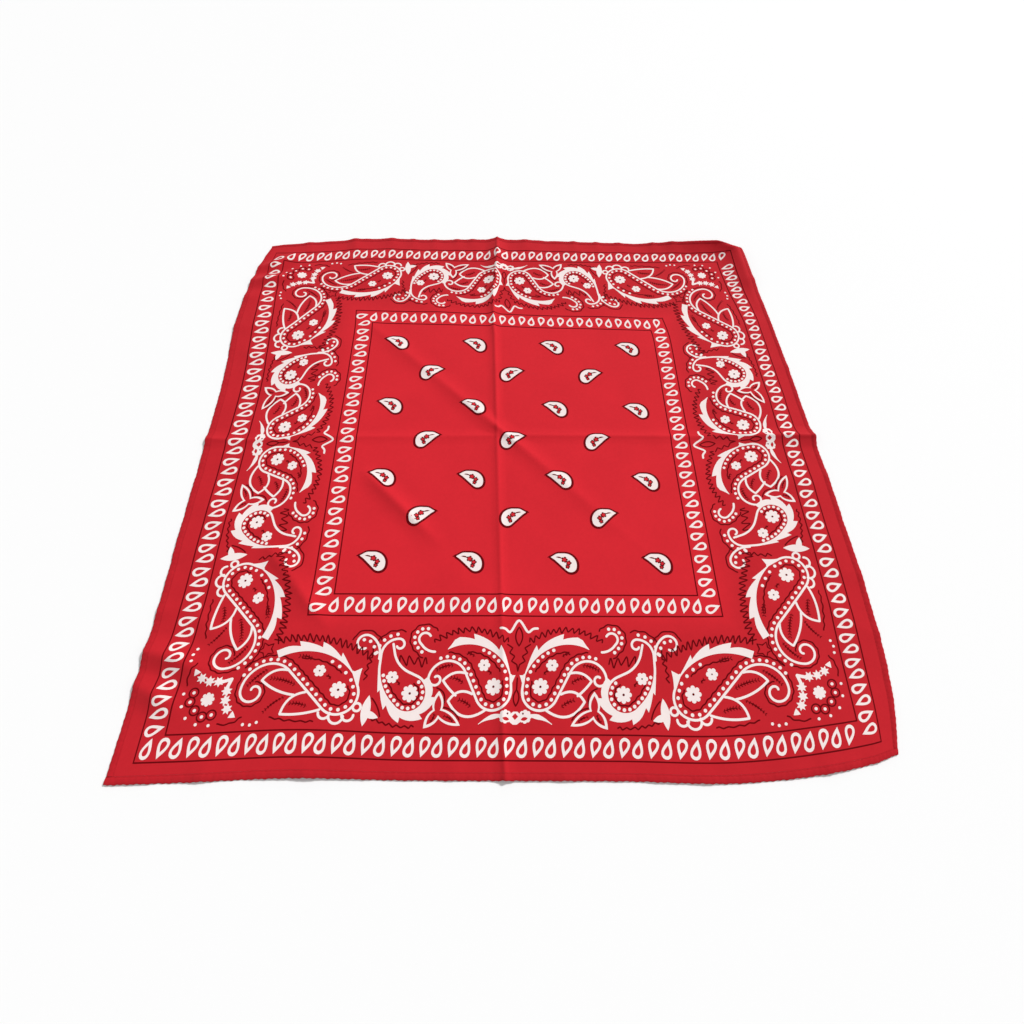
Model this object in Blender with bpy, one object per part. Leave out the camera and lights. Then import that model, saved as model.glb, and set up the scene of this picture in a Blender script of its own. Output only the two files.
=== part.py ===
"""A cotton bandana laid flat on a table: one square of cloth with a narrow turned hem on each side.

Every piece is worked out in the flat cloth first, in millimetres from the middle of its print, with u to
the right and v to the far side. The function laid() then gives each flat point its place on the table,
where the sides have been pulled a little out of line and the old folds still stand up.
"""

import bpy
import numpy as np

MM = 0.001

# The cut square. The print isn't quite in its middle, so each side has its own distance.
CUT = {"left": -275.5, "right": 276.0, "near": -271.5, "far": 277.0}

CLOTH_WALL = 1.2  # the cloth and the air under it, as one wall
HEM_WALL = 1.8  # the cloth turned over twice
HEM_WIDTH = 5.0
SEAM_GAP = 0.3

GRID_STEP = 11.5  # between one row of points and the next in the open cloth
FOLD_STEP = 3.5  # between the rows beside a pressed fold
FOLD_ROWS = 2  # such rows on each side of the fold
CENTRE_FOLD_U = -17.0  # where the two pressed folds cross
CROSS_FOLD_V = 8.0
FOLD_POWER = 1.5  # 1 is a straight-sided ridge, and more makes its foot softer and its crest sharper
SHARP_FROM = 40.0  # degrees between faces that are shaded as an edge

# How far the cloth is pulled out of line. Inside the calm square it isn't; from there the pull across each
# side grows to its full size at the printed frame, and then changes evenly to the pull of the cut edge.
CALM = 150.0
PRINTED_FRAME = 250.0

# The cloth along a side has also slid lengthwise. The slide starts at the first distance from the middle
# and is whole at the second.
SLIDE_FADE = {"left": (165, 255), "right": (140, 255), "near": (165, 255), "far": (125, 205)}

# Each side's rows: place along the side, slide along it, pull of the printed frame, pull of the cut edge.
# The left and right sides are pulled along X and slide along Y, the near and far sides the other way.
SIDES = {
    "left": (
        (-275, 0, 1, 4),
        (-225, -1, 1, 5),
        (-150, -6, 5, 6),
        (-75, -8, 5, 5),
        (0, -8, 6, 5),
        (75, -9, 6, 4),
        (150, -9, 1, 0),
        (225, -2, -1, 6),
        (275, 0, 2, 15),
    ),
    "right": (
        (-275, 0, -2, -11),
        (-225, 1, 1, 0),
        (-150, 4, 5, 5),
        (-75, 9, 5, 4),
        (0, 11, 4, 1),
        (75, 13, 2, -2),
        (150, 13, -1, -6),
        (225, 7, -10, -13),
        (275, 0, -12, -18),
    ),
    "near": (
        (-275, 0, 0, 0),
        (-225, 0, 1, 1),
        (-150, -3, 3, 3),
        (-75, -3, 0, 1),
        (0, -5, -1, 0),
        (75, -4, -2, -1),
        (150, -2, -3, -3),
        (225, 1, 4, 4),
        (275, 0, 11, 14),
    ),
    "far": (
        (-275, 0, -15, -27),
        (-225, -2, -15, -20),
        (-150, -5, -7, -9),
        (-75, -8, -6, -7),
        (0, -10, -3, -3),
        (75, -12, -1, -3),
        (150, -11, 2, -2),
        (225, -3, 2, -3),
        (275, 0, 3, -6),
    ),
}

# The folds that still stand up, each as a line across the flat cloth. Its rows: u, v, height and half width.
FOLDS = {
    "centre_press": (
        (-8, 277, 3.0, 12),
        (-8, 248, 6.0, 13),
        (-10, 210, 4.0, 12),
        (-20, 140, 1.6, 6),
        (-17, 0, 1.2, 6),
        (-13, -165, 0.9, 6),
        (-6, -271, 1.5, 8),
    ),
    "cross_press": (
        (-276, 6, 1.2, 9),
        (-150, 3, 0.6, 7),
        (0, 8, 0.8, 8),
        (150, 10, 1.0, 8),
        (240, 2, 2.6, 10),
        (276, 1, 4.0, 12),
    ),
    "long_diagonal": (
        (-145, 140, 0.8, 14),
        (-70, 68, 1.4, 14),
        (-17, 16, 2.4, 13),
        (25, -25, 1.2, 13),
        (110, -110, 0.0, 13),
    ),
    "short_diagonal": (
        (-135, -28, 0.0, 12),
        (-120, -43, 2.0, 13),
        (-88, -75, 2.0, 13),
        (-60, -103, 0.0, 12),
    ),
    "border_diagonal": (
        (-205, -95, 0.0, 12),
        (-192, -112, 2.2, 14),
        (-157, -152, 2.2, 14),
        (-140, -170, 0.0, 12),
    ),
    "near_left_ridge": (
        (-275, -182, 3.0, 15),
        (-250, -187, 4.5, 15),
        (-228, -198, 2.5, 14),
        (-205, -215, 0.0, 12),
    ),
    "near_left_tuck": (
        (-275, -207, 2.0, 13),
        (-255, -215, 3.5, 13),
        (-235, -228, 0.0, 12),
    ),
    "far_left_ridge": (
        (-275, 207, 2.5, 13),
        (-250, 211, 5.0, 13),
        (-235, 215, 3.5, 13),
        (-215, 228, 0.0, 12),
    ),
    "far_left_tuck": (
        (-275, 230, 2.0, 11),
        (-250, 237, 4.0, 12),
        (-235, 249, 2.5, 12),
    ),
    "far_right_curl": (
        (150, 277, 0.0, 20),
        (205, 277, 5.0, 26),
        (243, 277, 9.5, 30),
        (266, 264, 9.0, 30),
        (268, 215, 4.0, 20),
        (268, 160, 0.0, 14),
    ),
}

RED_COTTON = (0.64, 0.024, 0.034, 1.0)
RED_HEM = (0.50, 0.016, 0.024, 1.0)


def read_rows(rows, column, at):
    """A column of a side's rows at the given places along it, as one smooth line."""
    places, values = np.array(rows)[:, 0], np.array(rows)[:, column]
    slopes = np.gradient(values, places)
    at = np.clip(at, places[0], places[-1])
    left = np.clip(np.searchsorted(places, at, side="right") - 1, 0, len(places) - 2)
    span = places[left + 1] - places[left]
    t = (at - places[left]) / span
    return (
        values[left] * (1 + 2 * t) * (1 - t) ** 2
        + values[left + 1] * (3 - 2 * t) * t**2
        + slopes[left] * span * t * (1 - t) ** 2
        - slopes[left + 1] * span * t**2 * (1 - t)
    )


def ease(t):
    t = np.clip(t, 0.0, 1.0)
    return t * t * (3 - 2 * t)


def pull_across(side, outwards, along):
    """The pull of one side on points that lie outwards mm out from the middle, along mm along the side."""
    rows = SIDES[side]
    frame = ease((outwards - CALM) / (PRINTED_FRAME - CALM)) * read_rows(rows, 2, along)
    margin = np.clip((outwards - PRINTED_FRAME) / (abs(CUT[side]) - PRINTED_FRAME), 0.0, 1.0)
    return frame * (1 - margin) + read_rows(rows, 3, along) * margin


def slide_along(side, outwards, along):
    """How far the same points have slid along the side."""
    start, whole = SLIDE_FADE[side]
    return ease((outwards - start) / (whole - start)) * read_rows(SIDES[side], 1, along)


def fold_height(rows, u, v):
    """How high one fold lifts the points: most on its line, nothing at its half width and beyond."""
    nearest = np.full(u.shape, np.inf)
    lift = np.zeros(u.shape)
    for (u0, v0, height0, half0), (u1, v1, height1, half1) in zip(rows, rows[1:]):
        run = np.array((u1 - u0, v1 - v0))
        share = np.clip(((u - u0) * run[0] + (v - v0) * run[1]) / (run @ run), 0.0, 1.0)
        distance = np.hypot(u - u0 - share * run[0], v - v0 - share * run[1])
        half = half0 + share * (half1 - half0)
        height = height0 + share * (height1 - height0)
        raised = height * np.clip(1 - distance / half, 0.0, 1.0) ** FOLD_POWER
        lift = np.where(distance < nearest, raised, lift)
        nearest = np.minimum(nearest, distance)
    return lift


def laid(u, v):
    """Where points of the flat cloth lie: x, y and the height of the cloth's underside, in mm."""
    x = u + np.where(u < 0, pull_across("left", -u, v), pull_across("right", u, v))
    x += np.where(v < 0, slide_along("near", -v, u), slide_along("far", v, u))
    y = v + np.where(v < 0, pull_across("near", -v, u), pull_across("far", v, u))
    y += np.where(u < 0, slide_along("left", -u, v), slide_along("right", u, v))
    lift = np.zeros(u.shape)
    for rows in FOLDS.values():
        lift = np.maximum(lift, fold_height(rows, u, v))
    return np.stack((x, y, lift), axis=-1)


def grid_lines(low, high, fold):
    """Places from low to high, evenly apart but closer beside the pressed fold."""
    even = np.linspace(low, high, round((high - low) / GRID_STEP) + 1)
    close = fold + FOLD_STEP * np.arange(-FOLD_ROWS, FOLD_ROWS + 1)
    clear = np.abs(even[:, None] - close).min(axis=1) > FOLD_STEP
    clear[[0, -1]] = True
    return np.sort(np.concatenate((even[clear], close)))


def wall_of_cloth(name, across, along, thickness, material, middle):
    """One closed piece of cloth over a grid of flat lines, with its underside as laid() gives it."""
    u, v = np.meshgrid(across, along, indexing="ij")
    under = laid(u, v) - (*middle, 0.0)
    over = under + (0.0, 0.0, thickness)
    columns, rows = u.shape
    number = np.arange(columns * rows).reshape(columns, rows)
    top = columns * rows
    faces = []
    for i in range(columns - 1):
        for j in range(rows - 1):
            corners = number[i, j], number[i + 1, j], number[i + 1, j + 1], number[i, j + 1]
            faces.append(corners[::-1])
            faces.append(tuple(top + corner for corner in corners))
    rim = (*number[:-1, 0], *number[-1, :-1], *number[:0:-1, -1], *number[0, :0:-1])
    for here, after in zip(rim, (*rim[1:], rim[0])):
        faces.append((here, after, top + after, top + here))
    points = np.concatenate((under.reshape(-1, 3), over.reshape(-1, 3))) * MM
    mesh = bpy.data.meshes.new(name)
    mesh.from_pydata(points.tolist(), [], [tuple(map(int, face)) for face in faces])
    mesh.materials.append(material)
    mesh.shade_smooth()
    mesh.set_sharp_from_angle(angle=np.radians(SHARP_FROM))
    piece = bpy.data.objects.new(name, mesh)
    bpy.context.scene.collection.objects.link(piece)
    return piece


def cotton(name, colour):
    """A matt woven cotton of one colour."""
    material = bpy.data.materials.new(name)
    material.use_nodes = True
    shader = material.node_tree.nodes["Principled BSDF"]
    shader.inputs["Base Color"].default_value = colour
    shader.inputs["Roughness"].default_value = 0.8
    shader.inputs["Metallic"].default_value = 0.0
    return material


for leftover in list(bpy.data.objects):
    bpy.data.objects.remove(leftover, do_unlink=True)

all_u = grid_lines(CUT["left"], CUT["right"], CENTRE_FOLD_U)
all_v = grid_lines(CUT["near"], CUT["far"], CROSS_FOLD_V)
inset = HEM_WIDTH + SEAM_GAP
inner_u = np.clip(all_u, CUT["left"] + inset, CUT["right"] - inset)
inner_v = np.clip(all_v, CUT["near"] + inset, CUT["far"] - inset)

# The origin is under the middle of the laid cloth's own box.
outline = laid(*np.meshgrid(all_u, all_v, indexing="ij"))[..., :2].reshape(-1, 2)
middle = (outline.min(axis=0) + outline.max(axis=0)) / 2

red_cotton = cotton("red_cotton", RED_COTTON)
red_hem = cotton("red_hem", RED_HEM)

wall_of_cloth("cloth", inner_u, inner_v, CLOTH_WALL, red_cotton, middle)

# The near and far hems run the whole width, and the left and right hems fit between them.
HEMS = {
    "hem_near": (all_u, (CUT["near"], CUT["near"] + HEM_WIDTH)),
    "hem_far": (all_u, (CUT["far"] - HEM_WIDTH, CUT["far"])),
    "hem_left": ((CUT["left"], CUT["left"] + HEM_WIDTH), inner_v),
    "hem_right": ((CUT["right"] - HEM_WIDTH, CUT["right"]), inner_v),
}
for name, (across, along) in HEMS.items():
    wall_of_cloth(name, across, along, HEM_WALL, red_hem, middle)
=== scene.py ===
"""A cotton bandana laid flat: the printed cloth, its four turned hems and their stitches, and the print.

Everything is worked out on the flat cloth first, in millimetres from the middle of the print, with u to
the right and v to the far side. laid() then gives each flat point its place on the table.
"""

import bpy
import numpy as np
from mathutils import Matrix, Vector
from mathutils.geometry import delaunay_2d_cdt


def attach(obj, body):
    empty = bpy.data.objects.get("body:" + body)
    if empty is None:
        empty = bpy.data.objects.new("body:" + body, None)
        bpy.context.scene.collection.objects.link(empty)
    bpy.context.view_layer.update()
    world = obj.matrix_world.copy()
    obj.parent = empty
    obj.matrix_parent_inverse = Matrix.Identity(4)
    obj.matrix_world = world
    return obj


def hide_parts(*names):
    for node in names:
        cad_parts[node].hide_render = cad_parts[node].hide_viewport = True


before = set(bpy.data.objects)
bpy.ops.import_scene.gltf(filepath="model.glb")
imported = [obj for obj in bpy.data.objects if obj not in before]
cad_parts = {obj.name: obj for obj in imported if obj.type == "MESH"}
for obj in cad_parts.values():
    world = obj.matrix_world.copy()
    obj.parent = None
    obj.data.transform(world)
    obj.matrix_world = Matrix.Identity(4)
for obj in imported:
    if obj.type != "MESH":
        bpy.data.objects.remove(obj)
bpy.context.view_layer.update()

# ---------------------------------------------------------------------------------------------------
# The cloth. One square of plain weave cotton, 0.3 mm thick, dyed red and printed on its upper face. It
# was folded in four and then laid out by hand, so its sides are pulled out of line, the old folds still
# stand up, and soft creases run in from the hems.

MM = 0.001
CUT = {"left": -275.5, "right": 276.0, "near": -271.5, "far": 277.0}
HEM_WIDTH = 5.0
SEAM_GAP = 0.3
CLOTH_RISE = 0.15  # from the table to the underside
CLOTH_THICKNESS = 0.3
CALM = 150.0  # from the middle, where the sides begin to pull
PRINTED_FRAME = 250.0  # from the middle to the large frame
# Where each side's slide along itself begins and is whole, in mm from the middle.
SLIDE_FADE = {"left": (165, 255), "right": (140, 255), "near": (165, 255), "far": (125, 205)}

# Each side's rows: place along the side, slide along it, pull of the printed frame, pull of the cut edge.
SIDES = {
    "left": (
        (-275, 0, 1, 4),
        (-225, -1, 1, 5),
        (-150, -6, 5, 6),
        (-75, -8, 5, 5),
        (0, -8, 6, 5),
        (75, -9, 6, 4),
        (150, -9, 1, 0),
        (225, -2, -1, 6),
        (275, 0, 2, 15),
    ),
    "right": (
        (-275, 0, -2, -11),
        (-225, 1, 1, 0),
        (-150, 4, 5, 5),
        (-75, 9, 5, 4),
        (0, 11, 4, 1),
        (75, 13, 2, -2),
        (150, 13, -1, -6),
        (225, 7, -10, -13),
        (275, 0, -12, -18),
    ),
    "near": (
        (-275, 0, 0, 0),
        (-225, 0, 1, 1),
        (-150, -3, 3, 3),
        (-75, -3, 0, 1),
        (0, -5, -1, 0),
        (75, -4, -2, -1),
        (150, -2, -3, -3),
        (225, 1, 4, 4),
        (275, 0, 11, 14),
    ),
    "far": (
        (-275, 0, -15, -27),
        (-225, -2, -15, -20),
        (-150, -5, -7, -9),
        (-75, -8, -6, -7),
        (0, -10, -3, -3),
        (75, -12, -1, -3),
        (150, -11, 2, -2),
        (225, -3, 2, -3),
        (275, 0, 3, -6),
    ),
}

# The folds that still stand up, each as a line across the flat cloth: u, v, height and half width.
FOLD_POWER = 1.5
FOLD_CREST = 1.2  # radius that rounds the crest
FOLDS = {
    "centre_press": (
        (-8, 277, 3.0, 12),
        (-8, 248, 6.0, 13),
        (-10, 210, 4.0, 12),
        (-20, 140, 1.6, 6),
        (-17, 0, 1.2, 6),
        (-13, -165, 0.9, 6),
        (-6, -271, 1.5, 8),
    ),
    "cross_press": (
        (-276, 6, 1.2, 9),
        (-150, 3, 0.6, 7),
        (0, 8, 0.8, 8),
        (150, 10, 1.0, 8),
        (240, 2, 2.6, 10),
        (276, 1, 4.0, 12),
    ),
    "long_diagonal": (
        (-145, 140, 0.8, 14),
        (-70, 68, 1.4, 14),
        (-17, 16, 2.4, 13),
        (25, -25, 1.2, 13),
        (110, -110, 0.0, 13),
    ),
    "short_diagonal": (
        (-135, -28, 0.0, 12),
        (-120, -43, 2.0, 13),
        (-88, -75, 2.0, 13),
        (-60, -103, 0.0, 12),
    ),
    "border_diagonal": (
        (-205, -95, 0.0, 12),
        (-192, -112, 2.2, 14),
        (-157, -152, 2.2, 14),
        (-140, -170, 0.0, 12),
    ),
    "near_left_ridge": (
        (-275, -182, 3.0, 15),
        (-250, -187, 4.5, 15),
        (-228, -198, 2.5, 14),
        (-205, -215, 0.0, 12),
    ),
    "near_left_tuck": (
        (-275, -207, 2.0, 13),
        (-255, -215, 3.5, 13),
        (-235, -228, 0.0, 12),
    ),
    "far_left_ridge": (
        (-275, 207, 2.5, 13),
        (-250, 211, 5.0, 13),
        (-235, 215, 3.5, 13),
        (-215, 228, 0.0, 12),
    ),
    "far_left_tuck": (
        (-275, 230, 2.0, 11),
        (-250, 237, 4.0, 12),
        (-235, 249, 2.5, 12),
    ),
    "far_right_curl": (
        (150, 277, 0.0, 20),
        (205, 277, 5.0, 26),
        (243, 277, 9.5, 30),
        (266, 264, 9.0, 30),
        (268, 215, 4.0, 20),
        (268, 160, 0.0, 14),
    ),
}

# Soft creases, each from one flat point to another: u, v, u, v, height (a trough is below nothing), width.
CREASE_SCALE = 1.5
CREASE_FADE = 0.3  # share of its length over which a crease fades at its ends
CREASE_AT_START = 0.4  # share of that fade which is over where the crease starts
CREASES = (
    (-262, -236, -214, -252, -0.9, 7),
    (-268, -196, -232, -214, -0.8, 7),
    (-252, -150, -205, -180, 0.7, 8),
    (-262, -60, -196, -96, 0.5, 9),
    (-268, -30, -224, -44, -0.6, 7),
    (-268, 60, -214, 40, -0.6, 8),
    (-266, 108, -206, 92, 0.5, 8),
    (-262, 150, -176, 118, 0.5, 10),
    (-130, -262, -96, -206, 0.4, 10),
    (-196, -268, -178, -224, -0.8, 8),
    (-40, -266, -58, -196, 0.4, 10),
    (70, -266, 44, -208, -0.4, 10),
    (150, -264, 112, -214, 0.5, 10),
    (206, -266, 176, -226, -0.5, 8),
    (262, -206, 214, -176, -0.8, 8),
    (264, -168, 206, -132, 0.6, 9),
    (266, -110, 196, -92, 0.4, 10),
    (266, -50, 204, -34, 0.5, 9),
    (266, 50, 196, 34, 0.5, 10),
    (266, 96, 206, 86, -0.5, 8),
    (264, 150, 190, 128, 0.5, 9),
    (262, 196, 204, 166, -0.8, 8),
    (214, 262, 186, 206, -0.7, 9),
    (-60, 150, -128, 206, 0.5, 12),
    (60, 190, 122, 148, 0.4, 12),
    (120, 20, 196, -60, 0.4, 14),
    (-60, -120, 40, -190, 0.4, 14),
    (40, 60, 120, 120, 0.3, 16),
    (-120, 100, -40, 110, 0.3, 14),
)

# Puckers that run in from the hems. Each side's rows: place along it, height, half width, reach inwards.
PUCKER_SCALE = 1.7
PUCKER_LEAN = 0.12  # how far a pucker leans along the side on its way in
PUCKERS = {
    "far": (
        (-222, 0.7, 6, 34),
        (-186, -1.0, 7, 40),
        (-170, 0.8, 5, 34),
        (-146, -0.9, 6, 36),
        (-128, 0.7, 5, 30),
        (-104, 0.6, 4, 28),
        (-80, 0.7, 5, 34),
        (-54, 0.6, 4, 28),
        (-36, 0.5, 4, 22),
        (24, 0.6, 5, 30),
        (50, -0.5, 6, 26),
        (80, 0.6, 4, 30),
        (106, 0.6, 4, 26),
        (131, 0.7, 5, 32),
        (150, -0.6, 5, 26),
        (168, 0.7, 4, 28),
        (190, 0.6, 5, 30),
    ),
    "left": (
        (-232, -0.6, 6, 24),
        (-150, 0.6, 6, 28),
        (-112, -0.5, 6, 26),
        (-70, -0.7, 7, 30),
        (-28, -0.7, 6, 28),
        (4, 0.5, 6, 24),
        (60, -0.7, 7, 30),
        (100, -0.7, 7, 30),
        (140, 0.5, 6, 26),
        (182, 0.6, 6, 28),
    ),
    "right": (
        (-214, -0.7, 7, 30),
        (-176, 0.6, 6, 28),
        (-130, 0.5, 7, 28),
        (-84, -0.5, 6, 24),
        (-40, 0.4, 6, 24),
        (40, -0.6, 7, 30),
        (84, 0.5, 6, 28),
        (124, -0.6, 6, 26),
        (186, -0.9, 7, 34),
        (208, 0.6, 6, 28),
    ),
    "near": (
        (-236, -0.8, 7, 30),
        (-212, 0.6, 6, 26),
        (-186, -0.8, 7, 32),
        (-140, 0.5, 7, 26),
        (-92, -0.4, 7, 24),
        (-44, 0.4, 6, 22),
        (34, 0.4, 7, 24),
        (82, -0.4, 7, 24),
        (128, 0.4, 7, 26),
        (172, -0.5, 7, 26),
        (214, 0.5, 6, 26),
        (240, -0.5, 6, 24),
    ),
}

# The pressed lines stand up sharply along the folds: share of the fold's own height there, and half width.
PRESS_FROM = 2.0  # the fold height that presses the line no higher
PRESSES = {
    "centre_press": (0.6, 1.7),
    "cross_press": (0.4, 2.6),
    "long_diagonal": (0.5, 4.5),
    "short_diagonal": (0.5, 4.5),
    "border_diagonal": (0.5, 4.5),
}

# Broad swells of cloth that isn't quite flat on the table: wave length along u and along v, and height.
SWELLS = ((190.0, 260.0, 0.30), (-120.0, 150.0, 0.22), (84.0, -230.0, 0.14), (330.0, -96.0, 0.16))
REST_RISE = 0.35  # lifts the even parts, so that troughs have room below them
REST_SHARPNESS = 3.0  # how sharply a trough ends on the table


def ease(t):
    t = np.clip(t, 0.0, 1.0)
    return t * t * (3 - 2 * t)


def read_rows(rows, column, at):
    """A column of a side's rows at the given places along it, as one smooth line."""
    places, values = np.array(rows)[:, 0], np.array(rows)[:, column]
    slopes = np.gradient(values, places)
    at = np.clip(at, places[0], places[-1])
    left = np.clip(np.searchsorted(places, at, side="right") - 1, 0, len(places) - 2)
    span = places[left + 1] - places[left]
    t = (at - places[left]) / span
    return (
        values[left] * (1 + 2 * t) * (1 - t) ** 2
        + values[left + 1] * (3 - 2 * t) * t**2
        + slopes[left] * span * t * (1 - t) ** 2
        - slopes[left + 1] * span * t**2 * (1 - t)
    )


def pull_across(side, outwards, along):
    rows = SIDES[side]
    framed = ease((outwards - CALM) / (PRINTED_FRAME - CALM)) * read_rows(rows, 2, along)
    margin = np.clip((outwards - PRINTED_FRAME) / (abs(CUT[side]) - PRINTED_FRAME), 0.0, 1.0)
    return framed * (1 - margin) + read_rows(rows, 3, along) * margin


def slide_along(side, outwards, along):
    start, whole = SLIDE_FADE[side]
    return ease((outwards - start) / (whole - start)) * read_rows(SIDES[side], 1, along)


def fold_height(rows, u, v):
    """How high one fold lifts the points: most on its line, nothing at its half width and beyond."""
    nearest = np.full(u.shape, np.inf)
    lift = np.zeros(u.shape)
    for (u0, v0, height0, half0), (u1, v1, height1, half1) in zip(rows, rows[1:]):
        run = np.array((u1 - u0, v1 - v0))
        share = np.clip(((u - u0) * run[0] + (v - v0) * run[1]) / (run @ run), 0.0, 1.0)
        distance = np.hypot(u - u0 - share * run[0], v - v0 - share * run[1])
        rounded = np.hypot(distance, FOLD_CREST) - FOLD_CREST
        half = half0 + share * (half1 - half0)
        height = height0 + share * (height1 - height0)
        raised = height * np.clip(1 - rounded / half, 0.0, 1.0) ** FOLD_POWER
        lift = np.where(distance < nearest, raised, lift)
        nearest = np.minimum(nearest, distance)
    return lift


def creasing(u, v):
    """The height that the creases, puckers and swells add, never below the laid cloth itself."""
    rise = np.zeros(u.shape)
    for u0, v0, u1, v1, height, width in CREASES:
        run = np.array((u1 - u0, v1 - v0))
        share = ((u - u0) * run[0] + (v - v0) * run[1]) / (run @ run)
        aside = np.abs((u - u0) * run[1] - (v - v0) * run[0]) / np.hypot(*run)
        ends = ease(share / CREASE_FADE + CREASE_AT_START) * ease(1 + CREASE_FADE - share)
        rise += CREASE_SCALE * height * np.exp(-((aside / width) ** 2)) * ends
    for side, rows in PUCKERS.items():
        across = u if side in ("left", "right") else v
        along = v if side in ("left", "right") else u
        inwards = np.abs(CUT[side]) - across * np.sign(CUT[side])
        for place, height, half_width, reach in rows:
            lean = place + height * PUCKER_LEAN * inwards
            spread = half_width * (1 + inwards / reach)
            pucker = np.exp(-(((along - lean) / spread) ** 2)) * ease(1 - inwards / reach)
            rise += PUCKER_SCALE * height * pucker
    for name, (share, half_width) in PRESSES.items():
        pressed = [(*row[:2], min(row[2], PRESS_FROM), half_width) for row in FOLDS[name]]
        rise += share * fold_height(pressed, u, v)
    for along_u, along_v, height in SWELLS:
        rise += height * np.sin(2 * np.pi * (u / along_u + v / along_v))
    return np.logaddexp(0.0, REST_SHARPNESS * (rise + REST_RISE)) / REST_SHARPNESS


def laid(u, v):
    """Where points of the flat cloth lie: x, y and the height of the cloth's underside, in mm."""
    x = u + np.where(u < 0, pull_across("left", -u, v), pull_across("right", u, v))
    x += np.where(v < 0, slide_along("near", -v, u), slide_along("far", v, u))
    y = v + np.where(v < 0, pull_across("near", -v, u), pull_across("far", v, u))
    y += np.where(u < 0, slide_along("left", -u, v), slide_along("right", u, v))
    lift = np.zeros(u.shape)
    for rows in FOLDS.values():
        lift = np.maximum(lift, fold_height(rows, u, v))
    return np.stack((x, y, lift), axis=-1)


across_all = np.linspace(CUT["left"], CUT["right"], 240)
along_all = np.linspace(CUT["near"], CUT["far"], 240)
outline = laid(*np.meshgrid(across_all, along_all, indexing="ij"))[..., :2].reshape(-1, 2)
middle = (outline.min(axis=0) + outline.max(axis=0)) / 2


def on_table(u, v, rise):
    """Flat points on the creased cloth, rise mm above its resting underside, in metres in the frame."""
    points = laid(u, v)
    points[..., 2] += creasing(u, v) + rise
    return (points - (*middle, 0.0)) * MM


CELL = 2.75
CLOSE_CELL = 1.1
PRESS_U = (-24.0, -2.0)  # where the cells lie closer, over the two pressed folds
PRESS_V = (-6.0, 16.0)


def cell_lines(low, high, press):
    """Lines of the cloth's mesh from low to high, closer over the pressed fold."""
    lines = [low]
    while lines[-1] < high:
        step = CLOSE_CELL if press[0] <= lines[-1] < press[1] else CELL
        lines.append(lines[-1] + step)
    lines = np.array(lines[:-1])
    return np.append(lines[lines < high - CLOSE_CELL / 2], high)


inset = HEM_WIDTH + SEAM_GAP
lines_u = cell_lines(CUT["left"] + inset, CUT["right"] - inset, PRESS_U)
lines_v = cell_lines(CUT["near"] + inset, CUT["far"] - inset, PRESS_V)
grid_u, grid_v = np.meshgrid(lines_u, lines_v, indexing="ij")
cloth_top = on_table(grid_u, grid_v, CLOTH_RISE + CLOTH_THICKNESS)
cloth_under = on_table(grid_u, grid_v, CLOTH_RISE)


def new_piece(name, points, faces, material, replaced=()):
    """A smooth mesh piece that rides with the part."""
    mesh = bpy.data.meshes.new(name)
    mesh.from_pydata(points, [], faces)
    mesh.materials.append(material)
    mesh.shade_smooth()
    piece = bpy.data.objects.new(name, mesh)
    bpy.context.scene.collection.objects.link(piece)
    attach(piece, "root")
    if replaced:
        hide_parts(*replaced)
    return piece


BAKE_SIDE = 560.0  # the flat square, in mm, that fills a bake image


def bake_map(piece, flat, share=1.0, aside=0.0, loops=None):
    """Lays a piece out for its baked colours as it lies on the flat cloth: share of the image, and shift."""
    mesh = piece.data
    layer = mesh.uv_layers.get("OFBake") or mesh.uv_layers.new(name="OFBake")
    vertices = np.empty(len(mesh.loops), dtype=np.int32)
    mesh.loops.foreach_get("vertex_index", vertices)
    placed = np.empty(2 * len(mesh.loops), dtype=np.float32)
    layer.data.foreach_get("uv", placed)
    placed = placed.reshape(-1, 2)
    chosen = slice(None) if loops is None else loops
    placed[chosen] = (flat[vertices[chosen]] / BAKE_SIDE + 0.5) * share + (aside, 0.0)
    layer.data.foreach_set("uv", placed.ravel())


def shader_group(name, inputs, outputs):
    """An empty node group with the given sockets, and its input and output nodes."""
    group = bpy.data.node_groups.new(name, "ShaderNodeTree")
    for socket, value in inputs.items():
        made = group.interface.new_socket(socket, in_out="INPUT", socket_type="NodeSocketFloat")
        made.default_value = value
    for socket in outputs:
        group.interface.new_socket(socket, in_out="OUTPUT", socket_type="NodeSocketFloat")
    return group, group.nodes.new("NodeGroupInput"), group.nodes.new("NodeGroupOutput")


def math_node(tree, operation, *values):
    """A Math node whose inputs are sockets or plain numbers."""
    node = tree.nodes.new("ShaderNodeMath")
    node.operation = operation
    for place, value in enumerate(values):
        if isinstance(value, bpy.types.NodeSocket):
            tree.links.new(value, node.inputs[place])
        else:
            node.inputs[place].default_value = value
    return node.outputs[0]


def noise_node(tree, vector, scale, detail):
    node = tree.nodes.new("ShaderNodeTexNoise")
    node.inputs["Scale"].default_value = scale
    node.inputs["Detail"].default_value = detail
    tree.links.new(vector, node.inputs["Vector"])
    return node.outputs["Fac"]


def stretched(tree, vector, scale):
    node = tree.nodes.new("ShaderNodeVectorMath")
    node.operation = "MULTIPLY"
    node.inputs[1].default_value = scale
    tree.links.new(vector, node.inputs[0])
    return node.outputs[0]


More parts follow.
